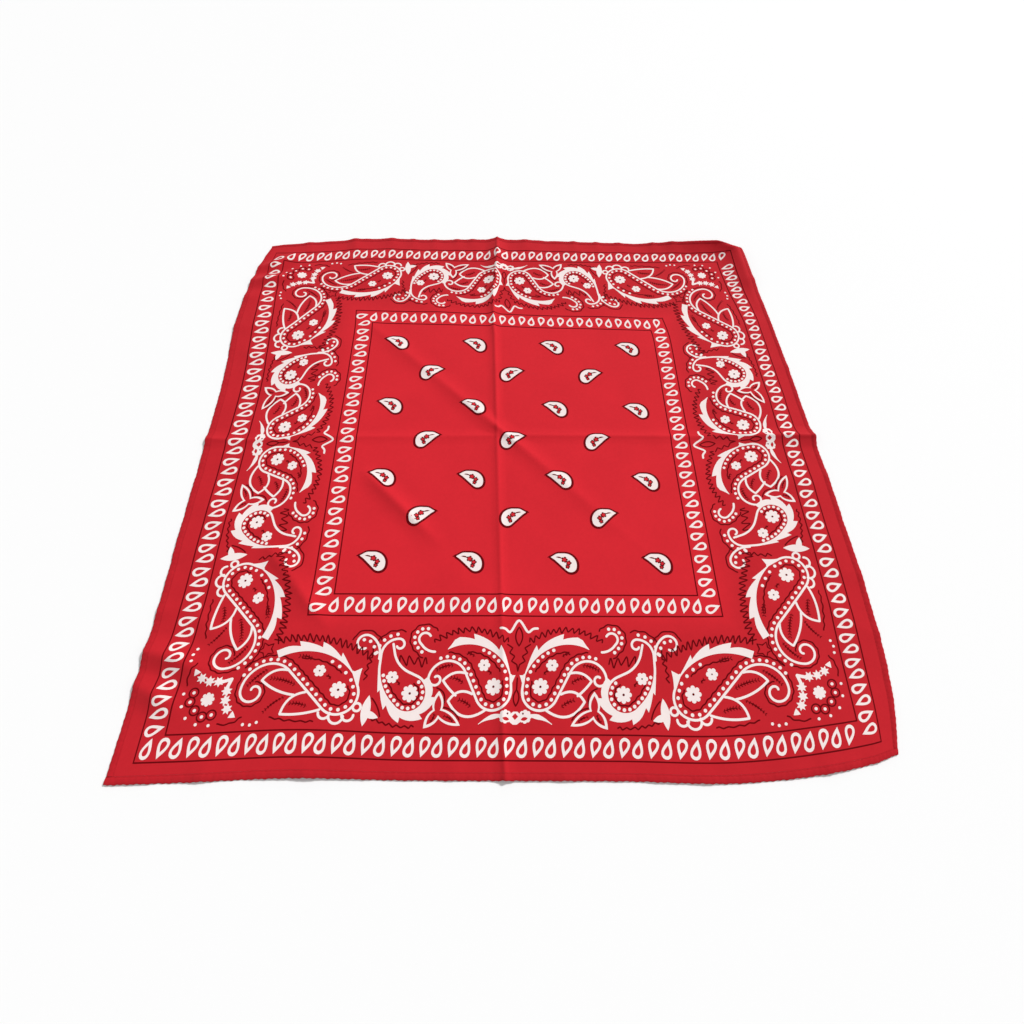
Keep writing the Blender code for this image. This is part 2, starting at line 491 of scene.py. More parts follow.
# Plain weave: threads over and under each other, with thicker slubs along both threads, a broad unevenness
# of the dye, and a deeper dye outside the middle field. Height feeds a bump, and Tone multiplies a colour.
FIELD_EDGE = (0.150, 0.186)  # metres from the print's middle, where the dye begins to deepen and is deepest
weave, weave_in, weave_out = shader_group(
    "plain weave",
    {"Threads per metre": 3200.0, "Slubs": 0.5, "Unevenness": 0.1, "Border depth": 0.0},
    ("Height", "Tone"),
)
place = weave.nodes.new("ShaderNodeTexCoord").outputs["Object"]
split = weave.nodes.new("ShaderNodeSeparateXYZ")
weave.links.new(place, split.inputs[0])
turns = math_node(weave, "MULTIPLY", weave_in.outputs["Threads per metre"], np.pi)
over = [math_node(weave, "SINE", math_node(weave, "MULTIPLY", split.outputs[axis], turns)) for axis in (0, 1)]
threads = math_node(weave, "MULTIPLY", *over)
warp_slubs = noise_node(weave, stretched(weave, place, (2200.0, 90.0, 1.0)), 1.0, 2.0)
weft_slubs = noise_node(weave, stretched(weave, place, (90.0, 2200.0, 1.0)), 1.0, 2.0)
slubs = math_node(weave, "SUBTRACT", math_node(weave, "ADD", warp_slubs, weft_slubs), 1.0)
slubs = math_node(weave, "MULTIPLY", slubs, weave_in.outputs["Slubs"])
height = math_node(weave, "MULTIPLY_ADD", threads, 0.5, slubs)
weave.links.new(height, weave_out.inputs["Height"])
blotches = math_node(weave, "SUBTRACT", noise_node(weave, place, 26.0, 4.0), 0.5)
mottle = math_node(weave, "SUBTRACT", noise_node(weave, place, 420.0, 2.0), 0.5)
tone = math_node(weave, "MULTIPLY_ADD", mottle, 0.6, blotches)
tone = math_node(weave, "MULTIPLY", tone, weave_in.outputs["Unevenness"])
tone = math_node(weave, "MULTIPLY_ADD", slubs, 0.06, tone)
from_middle = [
    math_node(weave, "ABSOLUTE", math_node(weave, "ADD", split.outputs[axis], float(middle[axis]) * MM))
    for axis in (0, 1)
]
field_edge = weave.nodes.new("ShaderNodeMapRange")
field_edge.interpolation_type = "SMOOTHSTEP"
field_edge.inputs["From Min"].default_value, field_edge.inputs["From Max"].default_value = FIELD_EDGE
weave.links.new(math_node(weave, "MAXIMUM", *from_middle), field_edge.inputs["Value"])
deeper = math_node(weave, "MULTIPLY", field_edge.outputs["Result"], weave_in.outputs["Border depth"])
lighter = math_node(weave, "SUBTRACT", 1.0, deeper)
tone = math_node(weave, "MULTIPLY", math_node(weave, "ADD", tone, 1.0), lighter)
weave.links.new(tone, weave_out.inputs["Tone"])


def cotton(name, colour, roughness, sheen, slubs, unevenness, bump, border_depth=0.0):
    """A matt cotton finish of one colour, with the weave's tone and relief on it."""
    material = bpy.data.materials.new(name)
    material.use_nodes = True
    tree = material.node_tree
    shader = tree.nodes["Principled BSDF"]
    finish = {"Roughness": roughness, "Specular IOR Level": 0.06, "Sheen Weight": sheen}
    for socket, value in {**finish, "Sheen Roughness": 0.5}.items():
        shader.inputs[socket].default_value = value
    woven = tree.nodes.new("ShaderNodeGroup")
    woven.node_tree = weave
    for socket, value in {"Slubs": slubs, "Unevenness": unevenness, "Border depth": border_depth}.items():
        woven.inputs[socket].default_value = value
    toned = tree.nodes.new("ShaderNodeMix")
    toned.data_type = "RGBA"
    toned.blend_type = "MULTIPLY"
    toned.inputs["Factor"].default_value = 1.0
    toned.inputs["A"].default_value = (*colour, 1.0)
    tree.links.new(woven.outputs["Tone"], toned.inputs["B"])
    tree.links.new(toned.outputs["Result"], shader.inputs["Base Color"])
    relief = tree.nodes.new("ShaderNodeBump")
    relief.inputs["Strength"].default_value = bump
    relief.inputs["Distance"].default_value = 0.0001
    tree.links.new(woven.outputs["Height"], relief.inputs["Height"])
    tree.links.new(relief.outputs["Normal"], shader.inputs["Normal"])
    return material


RED = (0.62, 0.018, 0.028)
BORDER_DEPTH = 0.17  # how much deeper the dye is outside the middle field
SHARP_ANGLE = np.radians(60)
printed_cotton = cotton("printed_cotton", RED, 0.9, 0.04, 0.5, 0.16, 0.5, BORDER_DEPTH)

columns, rows = grid_u.shape
number = np.arange(columns * rows).reshape(columns, rows)
below = columns * rows
first, second = number[:-1, :-1].ravel(), number[1:, :-1].ravel()
third, fourth = number[1:, 1:].ravel(), number[:-1, 1:].ravel()
cloth_faces = np.concatenate((np.stack((first, second, third), 1), np.stack((first, third, fourth), 1)))
rim = np.concatenate((number[:-1, 0], number[-1, :-1], number[:0:-1, -1], number[0, :0:-1]))
after = np.roll(rim, -1)
cloth_faces = cloth_faces.tolist()
cloth_faces += (np.stack((fourth, third, second, first), 1) + below).tolist()
cloth_faces += np.stack((after, rim, rim + below, after + below), 1).tolist()
cloth_points = np.concatenate((cloth_top.reshape(-1, 3), cloth_under.reshape(-1, 3)))
cloth = new_piece("cloth_sheet", cloth_points, cloth_faces, printed_cotton, ["cloth"])
cloth.data.set_sharp_from_angle(angle=SHARP_ANGLE)
flat_cloth = np.tile(np.stack((grid_u.ravel(), grid_v.ravel()), 1), (2, 1))
cells = (columns - 1) * (rows - 1)
bake_map(cloth, flat_cloth, 0.7)
bake_map(cloth, flat_cloth, 0.28, 0.71, slice(6 * cells, 10 * cells))  # the underside's loops

# ---------------------------------------------------------------------------------------------------
# The hems. On each side the cloth's own edge is turned over twice and sewn down, which leaves a narrow
# thicker band with a rounded edge and a groove where the seam pulls it down.

# Section of a hem: distance from the cut edge and height above the table, going round once.
HEM_SECTION = (
    (5.25, 0.45),
    (4.6, 0.45),
    (4.1, 0.62),
    (3.2, 0.84),
    (1.6, 0.88),
    (0.6, 0.80),
    (0.12, 0.58),
    (0.0, 0.40),
    (0.2, 0.18),
    (0.8, 0.10),
    (5.25, 0.12),
)
HEM_STEP = 1.2
SCALLOP_PITCH = 4.6  # the seam draws the edge in at every second or third stitch
SCALLOP_DRAW = 0.24
SCALLOP_RISE = 0.10
SCALLOP_REACH = 4.0  # how far in from the edge the section is drawn in and out
SCALLOP_UNEVENNESS = 0.6
SCALLOP_TOP = 0.3  # points of the section above this height rise and sink with the scallops
SEAM_GROOVE = 4.4  # but none from here inwards
hem_cotton = cotton("hem_cotton", (0.54, 0.015, 0.024), 0.9, 0.04, 0.6, 0.18, 0.6, BORDER_DEPTH)


def side_place(side, along, inwards):
    """Flat points given by their place along a side and their distance in from its cut edge."""
    across = CUT[side] - np.sign(CUT[side]) * inwards
    return (across, along) if side in ("left", "right") else (along, across)


def tube_faces(first, rings, turns, flipped):
    """The faces of a closed tube: rings of turns points each, numbered on from the first."""
    ring = np.arange(turns)
    faces = []
    for start in range(first, first + (rings - 1) * turns, turns):
        here, there = start + ring, start + turns + ring
        faces += np.stack((here, np.roll(here, -1), np.roll(there, -1), there), 1).tolist()
    faces.append((first + ring[::-1]).tolist())
    faces.append((first + (rings - 1) * turns + ring).tolist())
    return [face[::-1] for face in faces] if flipped else faces


def hem(side, start, end):
    """One hem: its section swept along the side, closed at both ends."""
    along = np.linspace(start, end, round((end - start) / HEM_STEP) + 1)
    inwards, heights = np.array(HEM_SECTION).T
    uneven = np.sin(along / 1.9 + 2 * np.sin(along / 23))
    drawn = np.sin(2 * np.pi * along / SCALLOP_PITCH) + SCALLOP_UNEVENNESS * uneven
    edge_share = np.clip(1 - inwards / SCALLOP_REACH, 0.0, 1.0)
    reach = inwards + np.outer(drawn, edge_share) * SCALLOP_DRAW
    top_share = np.where((heights > SCALLOP_TOP) & (inwards < SEAM_GROOVE), 1.0, 0.0)
    tall = heights + np.outer(drawn, top_share) * SCALLOP_RISE
    u, v = side_place(side, np.repeat(along[:, None], len(inwards), 1), reach)
    points = on_table(u, v, 0.0)
    points[..., 2] += tall * MM
    faces = tube_faces(0, len(along), len(inwards), side in ("near", "right"))
    piece = new_piece(
        f"hem_{side}_band", points.reshape(-1, 3), faces, hem_cotton, [f"hem_{side}"]
    )
    piece.data.set_sharp_from_angle(angle=SHARP_ANGLE)
    return piece


hems = [hem(side, CUT["left"], CUT["right"]) for side in ("near", "far")]
hems += [hem(side, CUT["near"] + inset, CUT["far"] - inset) for side in ("left", "right")]

# ---------------------------------------------------------------------------------------------------
# The stitches. One row of lockstitch in red cotton thread holds each hem, 4.6 mm in from the edge.

STITCH_INWARDS = 4.6
STITCH_PITCH = 2.9
STITCH_LENGTH = 2.3
THREAD_WIDTH = 0.42
THREAD_THICKNESS = 0.22
THREAD_SIDES = 6

# The rings of one stitch: share of its length from the middle, share of its girth, and dip into the cloth.
STITCH_RINGS = (
    (-0.5, 0.15, 0.12),
    (-0.42, 0.75, 0.05),
    (-0.2, 1.0, 0.0),
    (0.2, 1.0, 0.0),
    (0.42, 0.75, 0.05),
    (0.5, 0.15, 0.12),
)
STITCH_RISE = 0.47  # of the thread's middle over the cloth's underside
sewing_thread = cotton("sewing_thread", (0.50, 0.014, 0.022), 0.8, 0.05, 0.0, 0.1, 0.0, BORDER_DEPTH)


def stitches(side, start, end):
    """A row of stitches as one mesh: each is a short rounded thread that dips at both ends."""
    count = int((end - start) / STITCH_PITCH)
    centres = start + (np.arange(count) + 0.5) * (end - start) / count
    share, girth, sink = np.array(STITCH_RINGS).T
    turn = np.linspace(0, 2 * np.pi, THREAD_SIDES, endpoint=False)
    along = centres[:, None, None] + STITCH_LENGTH * share[None, :, None] + 0 * turn
    aside = THREAD_WIDTH / 2 * girth[:, None] * np.cos(turn)
    up = STITCH_RISE - sink[:, None] + THREAD_THICKNESS / 2 * girth[:, None] * np.sin(turn)
    u, v = side_place(side, along, STITCH_INWARDS + aside[None] + 0 * along)
    points = on_table(u, v, 0.0)
    points[..., 2] += up[None] * MM
    faces = []
    for k in range(count):
        first = k * len(share) * THREAD_SIDES
        faces += tube_faces(first, len(share), THREAD_SIDES, side in ("near", "right"))
    return new_piece(f"stitches_{side}", points.reshape(-1, 3), faces, sewing_thread)


SEAM_END = 6.0  # the seam stops this far before the corner
seams = [stitches(side, CUT["left"] + SEAM_END, CUT["right"] - SEAM_END) for side in ("near", "far")]
seams += [stitches(side, CUT["near"] + SEAM_END, CUT["far"] - SEAM_END) for side in ("left", "right")]

# ---------------------------------------------------------------------------------------------------
# The print's two inks: an opaque off-white, and a dark outline ink. Each lies as a thin layer on the
# cloth's own facets. Shapes are drawn as ink and outline, and where they overlap the later one shows,
# so a shape of bare "ground" cuts a hole in what was printed before it.

WHITE_RISE = 0.05
DARK_RISE = 0.09
OUTLINE_STEP = 0.9
white_print = cotton("white_print", (0.85, 0.74, 0.72), 0.85, 0.0, 0.4, 0.08, 0.4)
dark_print = cotton("dark_print", (0.125, 0.001, 0.003), 0.9, 0.0, 0.3, 0.16, 0.3)
INKS = {"white": (white_print, "white_print", WHITE_RISE), "dark": (dark_print, "dark_print", DARK_RISE)}


def points_at(line, shares):
    """Points at the given shares of a line's length."""
    lengths = np.append(0.0, np.cumsum(np.hypot(*np.diff(line, axis=0).T)))
    return np.stack([np.interp(np.array(shares) * lengths[-1], lengths, values) for values in line.T], 1)


def stretch(line, start=0.0, end=1.0, step=OUTLINE_STEP):
    """The part of a line between two shares of its length, in even steps."""
    length = np.hypot(*np.diff(line, axis=0).T).sum()
    return points_at(line, np.linspace(start, end, max(3, round(abs(end - start) * length / step))))


PEG_POINTS = 40


def wound(*pegs, start=None, end=None):
    """A line drawn tight round pegs, each given by u, v and radius.

    It turns left round a peg whose radius is above 0, right round one below 0, and runs through a peg of
    radius 0. Its first and last headings can be given in degrees.
    """
    pegs = np.array(pegs, float)
    runs = np.diff(pegs, axis=0)
    headings = np.arctan2(runs[:, 1], runs[:, 0]) - np.arcsin(runs[:, 2] / np.hypot(runs[:, 0], runs[:, 1]))
    first = headings[0] if start is None else np.radians(start)
    last = headings[-1] if end is None else np.radians(end)
    line = []
    for (u, v, radius), coming, leaving in zip(pegs, (first, *headings), (*headings, last)):
        side = np.sign(radius)
        turn = (leaving - coming) * side % (2 * np.pi) * side
        for heading in coming + turn * np.linspace(0, 1, PEG_POINTS):
            line.append((u + radius * np.sin(heading), v - radius * np.cos(heading)))
    return stretch(np.array(line))


CURL_STEPS = 30


def curled(line, radius, last_radius, turn):
    """A line carried on in a curl whose radius shrinks: to the left, or right with a turn below 0."""
    run = line[-1] - line[-2]
    heading = np.arctan2(run[1], run[0])
    points = list(line)
    for reach in np.linspace(radius, last_radius, CURL_STEPS):
        heading += np.radians(turn) / CURL_STEPS
        step = reach * abs(np.radians(turn)) / CURL_STEPS
        points.append(points[-1] + step * np.array((np.cos(heading), np.sin(heading))))
    return stretch(np.array(points))


def bow(start, end, belly):
    """A shallow curve between two points that bellies to its left, or to its right below 0."""
    start, end = np.array(start, float), np.array(end, float)
    across = np.array((start[1] - end[1], end[0] - start[0])) / np.hypot(*(end - start))
    share = np.linspace(0, 1, 14)[:, None]
    return start + (end - start) * share + across * belly * 4 * share * (1 - share)


def sideways(line):
    """The unit direction to the left of a line at each of its points."""
    run = np.gradient(line, axis=0)
    run /= np.hypot(run[:, 0], run[:, 1])[:, None] + 1e-9
    return np.stack((-run[:, 1], run[:, 0]), 1)


def beside(line, distance):
    return line + distance * sideways(line)


def disc(centre, radius, sides=10):
    turn = np.linspace(0, 2 * np.pi, sides, endpoint=False)
    return np.array(centre) + radius * np.stack((np.cos(turn), np.sin(turn)), 1)


TAPERED_END = 0.12  # the least width of a tapered band, as a share


def stroke(ink, line, width, taper=0.0):
    """A band of ink along a line with round ends, or with ends that taper over that share of it."""
    share = np.linspace(0, 1, len(line))
    slim = np.clip(np.minimum(share, 1 - share) / taper, TAPERED_END, 1.0) if taper else np.ones(len(line))
    half = (width / 2 * slim)[:, None]
    left, right = line + half * sideways(line), line - half * sideways(line)
    band = [(ink, np.concatenate((left, right[::-1])))]
    return band if taper else band + [(ink, disc(end, width / 2, 8)) for end in (line[0], line[-1])]


def outlined(ink, outline, width):
    """A band of ink all round a closed outline."""
    return stroke(ink, np.concatenate((outline, outline[:2])), width)


def dots(ink, line, count, radius):
    return [(ink, disc(centre, radius)) for centre in points_at(line, np.linspace(0, 1, count))]


PETAL_ROUNDNESS = 0.6
FLOWER_NOTCH = 0.26


def petals(centre, radius, count, notch):
    """The outline of a round flower, with a notch of that share of its radius between its petals."""
    turn = np.linspace(0, 2 * np.pi, count * 6, endpoint=False)
    reach = radius * (1 - notch + notch * np.abs(np.cos(turn * count / 2)) ** PETAL_ROUNDNESS)
    return np.array(centre) + reach[:, None] * np.stack((np.cos(turn), np.sin(turn)), 1)


def flower(centre, radius, count, eye):
    """A white flower with a dark eye."""
    return [("white", petals(centre, radius, count, FLOWER_NOTCH)), ("dark", disc(centre, eye, 8))]


STAR_WAIST = 0.55  # radius of a star's inner corners, as a share of its own


def star(centre, radius, count, turned=0.0):
    """The outline of a star with that many points."""
    turn = np.linspace(0, 2 * np.pi, 2 * count, endpoint=False) + np.radians(turned)
    reach = np.tile((radius, STAR_WAIST * radius), count)
    return np.array(centre) + reach[:, None] * np.stack((np.cos(turn), np.sin(turn)), 1)


def leaf(root, tip, left, right):
    """A pointed leaf whose two sides belly out to the left and the right of the line from root to tip."""
    return np.concatenate((bow(root, tip, -right), bow(tip, root, -left)[1:-1]))


WAVE_STEP = 0.5
WAVE_POINTEDNESS = 0.96  # at 1 its turns would be sharp
WAVE_LEAN = 0.3


def wavy(line, swing, pitch):
    """A hand-drawn wave along a line, with leaning swings of uneven size and length."""
    line = stretch(line, step=WAVE_STEP)
    turn = np.pi * np.arange(len(line)) / pitch
    size = 0.8 + 0.2 * np.sin(0.37 * turn + 1.0)
    sway = swing * size * np.arcsin(WAVE_POINTEDNESS * np.sin(turn + 0.4 * np.sin(0.23 * turn))) / 1.3
    across = sideways(line)
    along = np.stack((across[:, 1], -across[:, 0]), 1)
    return line + sway[:, None] * (across + WAVE_LEAN * along)


BARB_PITCH = 2.2
BARB_WIDTH = 0.75
TWIG_WIDTH = 1.0
TWIG_TAPER = 0.4


def sprig(start, end, barb=2.0):
    """A dark twig with barbs on both sides that lean towards its end."""
    start, end = np.array(start, float), np.array(end, float)
    along = (end - start) / np.hypot(*(end - start))
    across = np.array((-along[1], along[0]))
    twig = bow(start, end, 1.0)
    shapes = stroke("dark", twig, TWIG_WIDTH, TWIG_TAPER)
    length = np.hypot(*(end - start))
    for root in points_at(twig, np.arange(1.0, length, BARB_PITCH) / length):
        for side in (1, -1):
            tip = root + barb * (0.6 * along + 0.8 * side * across)
            shapes += stroke("dark", np.linspace(root, tip, 4), BARB_WIDTH, TWIG_TAPER)
    return shapes


TOOTH_LAP = 0.08  # how far a tooth's tip lies over the next one, as a share of their pitch
LEAF_ROOT = 0.25  # how wide a toothed leaf is at its root, as a share of its width
LEAF_SWELLS = 0.45  # share of its length where it is widest
LEAF_TAIL = 0.18  # share of its length that its tail takes up


def toothed(line, width, count, tail):
    """A solid white leaf on the left of a line, in teeth that lean along it, its tail pointed or blunt."""
    outer = []
    rise = np.linspace(0, 1, 7)
    for tooth in range(count):
        shares = (tooth + (1 + TOOTH_LAP) * rise) / (count + TOOTH_LAP)
        narrowed = 1 - (1 - tail) * ease(1 - (1 - shares) / LEAF_TAIL)
        swell = (LEAF_ROOT + (1 - LEAF_ROOT) * ease(shares / LEAF_SWELLS)) * narrowed
        heights = width * swell * (0.5 + 0.5 * rise)
        inner = points_at(line, shares)
        outer.append(inner + heights[:, None] * sideways(inner))
    return [("white", np.concatenate((line, np.concatenate(outer)[::-1])))]


def flag(line, end, corner):
    """A solid white flag between a line, up to that share of its length, and a corner beside its start."""
    edge = stretch(line, 0.0, end)
    return [("white", np.concatenate((edge, bow(edge[-1], corner, -0.8))))]


def shapes_moved(shapes, matrix, shift=(0.0, 0.0)):
    return [(ink, outline @ np.array(matrix, float).T + shift) for ink, outline in shapes]


def inside(points, outline):
    """Which points lie inside an outline, also where the outline crosses itself."""
    x0, y0 = outline.T
    x1, y1 = np.roll(outline, -1, axis=0).T
    px, py = points[:, :1], points[:, 1:]
    side = (x1 - x0) * (py - y0) - (px - x0) * (y1 - y0)
    up, down = (y0 <= py) & (y1 > py) & (side > 0), (y0 > py) & (y1 <= py) & (side < 0)
    return up.sum(axis=1) != down.sum(axis=1)


def cut_out(shapes):
    """Cuts the cloth's facets along the outlines, and gives the triangles that show each ink."""
    corners, index, edges = [], {}, []
    for _, outline in shapes:
        ring = []
        for corner in map(tuple, np.round(outline, 3).tolist()):
            if corner not in index:
                index[corner] = len(corners)
                corners.append(corner)
            ring.append(index[corner])
        edges += [(a, b) for a, b in zip(ring, ring[1:] + ring[:1]) if a != b]
    spread = np.array(corners)
    at_u = np.clip(np.searchsorted(lines_u, spread[:, 0]) - 1, 0, len(lines_u) - 2)
    at_v = np.clip(np.searchsorted(lines_v, spread[:, 1]) - 1, 0, len(lines_v) - 2)
    cells = set(zip(at_u.tolist(), at_v.tolist()))
    round_cell = [(p, q) for p in range(-2, 4) for q in range(-2, 4)]
    lattice = {}
    for i, j in sorted({(i + p, j + q) for i, j in cells for p, q in round_cell}):
        if 0 <= i < len(lines_u) and 0 <= j < len(lines_v):
            lattice[i, j] = len(corners)
            corners.append((lines_u[i], lines_v[j]))
    for (i, j), corner in lattice.items():
        ends = [(i + p, j + q) for p, q in ((1, 0), (0, 1), (1, 1))]
        edges += [(corner, lattice[end]) for end in ends if end in lattice]
    cut = delaunay_2d_cdt([Vector(corner) for corner in corners], edges, [], 0, 1e-4, False)
    flat, triangles = np.array([tuple(corner) for corner in cut[0]]), np.array(cut[2])
    centres = flat[triangles].mean(axis=1)
    order = np.argsort(centres[:, 0])
    centres, triangles = centres[order], triangles[order]
    shown = np.full(len(triangles), "ground", dtype="<U8")
    for ink, outline in shapes:
        low, high = outline.min(axis=0), outline.max(axis=0)
        first, last = np.searchsorted(centres[:, 0], (low[0], high[0]))
        near = first + np.flatnonzero((centres[first:last, 1] > low[1]) & (centres[first:last, 1] < high[1]))
        shown[near[inside(centres[near], outline)]] = ink
    return flat, {ink: triangles[shown == ink] for ink in INKS}


def cloth_at(values, flat):
    """Reads a grid of values on the cloth's own facets at flat points."""
    i = np.clip(np.searchsorted(lines_u, flat[:, 0], side="right") - 1, 0, len(lines_u) - 2)
    j = np.clip(np.searchsorted(lines_v, flat[:, 1], side="right") - 1, 0, len(lines_v) - 2)
    s = ((flat[:, 0] - lines_u[i]) / (lines_u[i + 1] - lines_u[i]))[:, None]
    t = ((flat[:, 1] - lines_v[j]) / (lines_v[j + 1] - lines_v[j]))[:, None]
    low = values[i, j] * (1 - s) + values[i + 1, j] * (s - t) + values[i + 1, j + 1] * t
    high = values[i, j] * (1 - t) + values[i, j + 1] * (t - s) + values[i + 1, j + 1] * s
    return np.where(s >= t, low, high)


along_u, along_v = np.gradient(cloth_top, lines_u, axis=0), np.gradient(cloth_top, lines_v, axis=1)
cloth_normals = np.cross(along_u, along_v)
cloth_normals /= np.linalg.norm(cloth_normals, axis=-1, keepdims=True)


def lay_print(name, units):
    """Lays groups of shapes on the cloth as one piece for each ink that they use."""
    flats, faces, start = [], {ink: [] for ink in INKS}, 0
    for shapes in units:
        flat, cut = cut_out(shapes)
        for ink, triangles in cut.items():
            faces[ink].append(triangles + start)
        flats.append(flat)
        start += len(flat)
    flat = np.concatenate(flats)
    for ink, ink_faces in faces.items():
        material, slot_name, rise = INKS[ink]
        used, renumbered = np.unique(np.concatenate(ink_faces), return_inverse=True)
        if not len(used):
            continue
        points = cloth_at(cloth_top, flat[used]) + (0.0, 0.0, rise * MM)
        piece = new_piece(f"{name}_{ink}", points, renumbered.reshape(-1, 3).tolist(), material)
        normals = cloth_at(cloth_normals, flat[used])
        piece.data.normals_split_custom_set_from_vertices(normals.tolist())
        bake_map(piece, flat[used])


# ---------------------------------------------------------------------------------------------------
# The frames: a row of hollow teardrops along each side between two fine dark lines, a large frame round
# the border and a small one round the middle. Neighbouring teardrops point opposite ways.

LINE_WIDTH = 0.95
LINE_STEP = 2.2
LARGE_LINES = (258.5, 241.5)  # from the middle to each square
SMALL_LINES = (158.5, 141.5)
DROP = {"length": 14.0, "width": 8.2, "hole": 0.53}
SMALL_DROP = {"length": 12.8, "width": 7.8, "hole": 0.53}
DROP_LEAN = 17.0
DROP_SLIMNESS = 1.3  # how much a drop slims towards its tip
DROP_FULLNESS = 0.62  # its half width, before it slims, as a share of its width
HOLE_BACK = 0.075  # how far its hole lies towards the round end, as a share of its length
SMALL_FRAME = 150.0
SMALL_FRAME_PITCH = 10.0
SMALL_FRAME_COUNT = 29
# The drops in the small frame's corners: u, v and the direction of the tip in degrees.
SMALL_CORNERS = ((-152, -152, 20), (152, -152, 20), (-152, 151, 20), (150, 151, -107))

# Each row of the large frame: its first place, whether its first tip points inwards, and its stretches
# of drops as their number and pitch. The near and far rows run to the right, the others to the far side.
DROP_ROWS = {
    "near": (-251.5, True, ((49, 9.9),)),
    "far": (-235, False, ((49, 9.85),)),
    "left": (-238, True, ((39, 10.1), (8, 11.3))),
    "right": (-249, True, ((43, 10.1), (5, 9.0))),
}
QUARTERS = {
    "near": ((1, 0), (0, 1)),
    "right": ((0, -1), (1, 0)),
    "far": ((-1, 0), (0, -1)),
    "left": ((0, 1), (-1, 0)),
}
OUTWARDS = {"near": -90.0, "far": 90.0, "left": 180.0, "right": 0.0}


def square_line(half):
    """One fine dark square, half mm from the middle on all sides."""
    reach = half + LINE_WIDTH / 2
    side = stretch(np.array(((-reach, -half), (reach, -half))), step=LINE_STEP)
    bar = np.concatenate((beside(side, LINE_WIDTH / 2), beside(side, -LINE_WIDTH / 2)[::-1]))
    return [shape for quarter in QUARTERS.values() for shape in shapes_moved([("dark", bar)], quarter)]


def teardrop(centre, angle, length, width, hole):
    """A hollow teardrop whose tip points along angle, with its hole nearer the round end."""
    turn = np.linspace(0, 2 * np.pi, 20, endpoint=False)
    aside = np.sin(turn) * np.sin(turn / 2) ** DROP_SLIMNESS * width * DROP_FULLNESS
    shape = np.stack((np.cos(turn) * length / 2, aside), 1)
    inner = shape * (hole, hole * 0.98) - (length * HOLE_BACK, 0.0)
    a = np.radians(angle)
    turned = ((np.cos(a), -np.sin(a)), (np.sin(a), np.cos(a)))
    return shapes_moved([("white", shape), ("ground", inner)], turned, centre)


def drop_row(side):
    """The teardrops along one side of the large frame."""
    first, tip_in, stretches = DROP_ROWS[side]
    pitches = [pitch for count, pitch in stretches for _ in range(count)]
    across = np.sign(CUT[side]) * PRINTED_FRAME
    lean = -DROP_LEAN if side in ("near", "far") else DROP_LEAN
    shapes = []
    for along in np.cumsum([first, *pitches]):
        centre = (across, along) if side in ("left", "right") else (along, across)
        shapes += teardrop(centre, OUTWARDS[side] + lean + (180.0 if tip_in else 0.0), **DROP)
        tip_in = not tip_in
    return shapes


def small_frame():
    """The small frame: drops of even pitch on its four sides, and one in each corner."""
    shapes = []
    for k in range(SMALL_FRAME_COUNT):
        along = SMALL_FRAME_PITCH * (k - (SMALL_FRAME_COUNT - 1) / 2)
        turned = 180.0 * (k % 2)
        for across in (SMALL_FRAME, -SMALL_FRAME):
            shapes += teardrop((along, across), 90.0 - DROP_LEAN + turned, **SMALL_DROP)
            shapes += teardrop((across, along), 180.0 + DROP_LEAN + turned, **SMALL_DROP)
    for u, v, angle in SMALL_CORNERS:
        shapes += teardrop((u, v), angle, **SMALL_DROP)
    return shapes


lay_print("frame_drops", [drop_row(side) for side in CUT] + [small_frame()])
lay_print("frame_lines", [square_line(half) for half in LARGE_LINES + SMALL_LINES])

# ---------------------------------------------------------------------------------------------------
# The small paisleys: 25 solid white ones with a heavy dark outline, in rows of four and three. Those of
# the rows of three are turned the other way round.

SMALL_PITCH = (76.2, 76.6)
SMALL_SHIFT = (-2.2, 2.2)  # of the rows' middle from the print's
TURNED_RISE = 2.1  # the rows of three lie a little further from you
OUTLINE_SHIFT = (0.3, -0.3)  # the dark ink lies a little beside the white
OUTLINE_WIDTH = 3.4


def small_paisley():
    """A fat drop with its tip to the left, and a red flower on a stem inside it."""
    tip = (-9.5, 3, 0)
    pegs = ((-2.5, 0.3, -6), (1.5, -3.5, -9.8), (6.3, -5.1, -4.8), (-11.5, -5.5, 8))
    body = wound(tip, *pegs, tip)
    rim = outlined("dark", body, OUTLINE_WIDTH) + [("dark", body)]
    rim += stroke("dark", bow((-7, 3.3), (-12.5, 3), -0.5), 2.4, 0.4)
    shapes = shapes_moved(rim, np.eye(2), OUTLINE_SHIFT) + [("white", body)]
    for centre, radius in (((1.5, 0.8), 2.7), ((4.8, -2), 2.4), ((3.8, -5.2), 2.0)):
        shapes.append(("dark", petals(centre, radius, 5, 0.35)))
        shapes.append(("ground", petals(centre, radius - 1.0, 5, 0.35)))
    return shapes + stroke("dark", bow((-5.5, 3), (0, 1.6), 0.5), 1.1, 0.3)


small_units = []
for row in range(7):
    facing = 1 if row % 2 == 0 else -1
    for place in (-1.5, -0.5, 0.5, 1.5) if facing == 1 else (-1.0, 0.0, 1.0):
        shift = np.array((place, 1.5 - 0.5 * row)) * SMALL_PITCH + SMALL_SHIFT
        shift += (0, 0 if facing == 1 else TURNED_RISE)
        small_units.append(shapes_moved(small_paisley(), ((facing, 0), (0, 1)), shift))
lay_print("small_paisleys", small_units)

# ---------------------------------------------------------------------------------------------------
# The border between the two frames. Each side has three large paisleys on both sides of its middle, with
# dots inside, a toothed leaf on the back, open leaves, flowers and fine dark twigs. Their lines are wound
# round a few pegs. It is drawn for the near side, and repeated on all four.

WHITE_LINE = 1.75
DARK_LINE = 1.0
DOT = 1.3
BIG_FLOWER = {"radius": 6.0, "count": 8, "eye": 0.9}
SMALL_FLOWER = {"radius": 4.5, "count": 6, "eye": 0.6}


